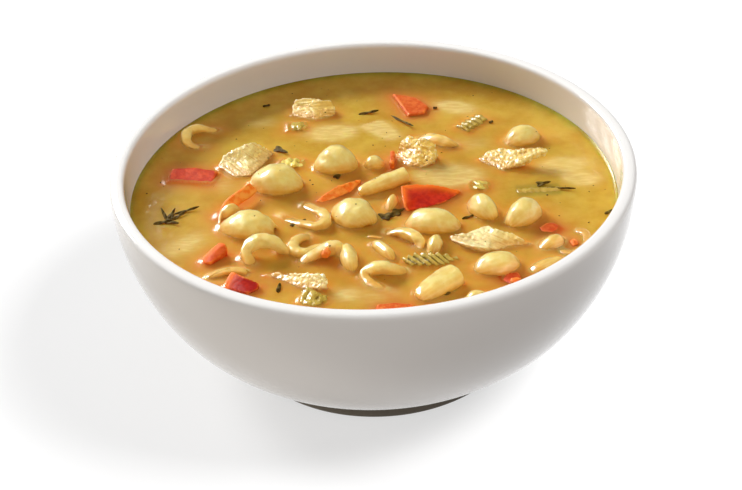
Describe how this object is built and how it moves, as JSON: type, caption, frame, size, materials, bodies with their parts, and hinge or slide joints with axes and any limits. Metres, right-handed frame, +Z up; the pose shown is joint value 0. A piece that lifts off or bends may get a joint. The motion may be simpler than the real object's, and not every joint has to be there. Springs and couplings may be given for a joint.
{
  "type": "bowl of chicken soup with pasta shells",
  "caption": "Round white soup bowl on a low foot ring, filled with golden broth in which small pasta shells, torn chicken, carrot and celery lie half sunk.",
  "frame": {"origin": "middle of the foot ring, on the surface that the bowl stands on", "axes": "+Z up out of the bowl, -Y towards the side that is seen first, +X to its right"},
  "size_m": [0.152, 0.152, 0.062],
  "materials": {
    "glaze": "glossy white glaze",
    "broth": "wet golden liquid, slightly cloudy",
    "pasta": "wet cooked dough, satin",
    "chicken": "moist fibrous cooked meat",
    "carrot": "wet cooked carrot",
    "celery": "wet cooked celery, ribbed",
    "herb": "wet chopped leaf and pepper specks"
  },
  "bodies": {
    "root": {"bowl": "glaze", "broth": "broth", "carrot_back": "carrot", "carrot_bar": "carrot", "carrot_front": "carrot", "carrot_front_left": "carrot", "carrot_front_right": "carrot", "carrot_left": "carrot", "carrot_right": "carrot", "carrot_shaving": "carrot", "carrot_sliver": "carrot", "carrot_strip": "carrot", "carrot_wedge": "carrot", "celery_back_left": "celery", "celery_back_right": "celery", "celery_behind_shell": "celery", "celery_cube": "celery", "celery_front_left": "celery", "celery_ribbed": "celery", "celery_right": "celery", "chicken_back": "chicken", "chicken_front_left": "chicken", "chicken_front_right": "chicken", "chicken_left": "chicken", "chicken_middle": "chicken", "chicken_right": "chicken", "shell_back_left": "pasta", "shell_back_middle": "pasta", "shell_back_right": "pasta", "shell_behind_meat": "pasta", "shell_behind_sliver": "pasta", "shell_blade": "pasta", "shell_cup_left": "pasta", "shell_cup_middle": "pasta", "shell_far_right": "pasta", "shell_front_cup": "pasta", "shell_front_long": "pasta", "shell_front_right": "pasta", "shell_front_rim": "pasta", "shell_hood": "pasta", "shell_hook": "pasta", "shell_left": "pasta", "shell_left_rim": "pasta", "shell_left_wall": "pasta", "shell_long": "pasta", "shell_middle": "pasta", "shell_right": "pasta", "shell_right_back": "pasta", "shell_right_low": "pasta", "shell_right_rim": "pasta", "shell_tip_back": "pasta", "shell_tip_front": "pasta", "shell_tip_left": "pasta", "shell_torn": "pasta", "shell_upright": "pasta"}
  },
  "joints": []
}
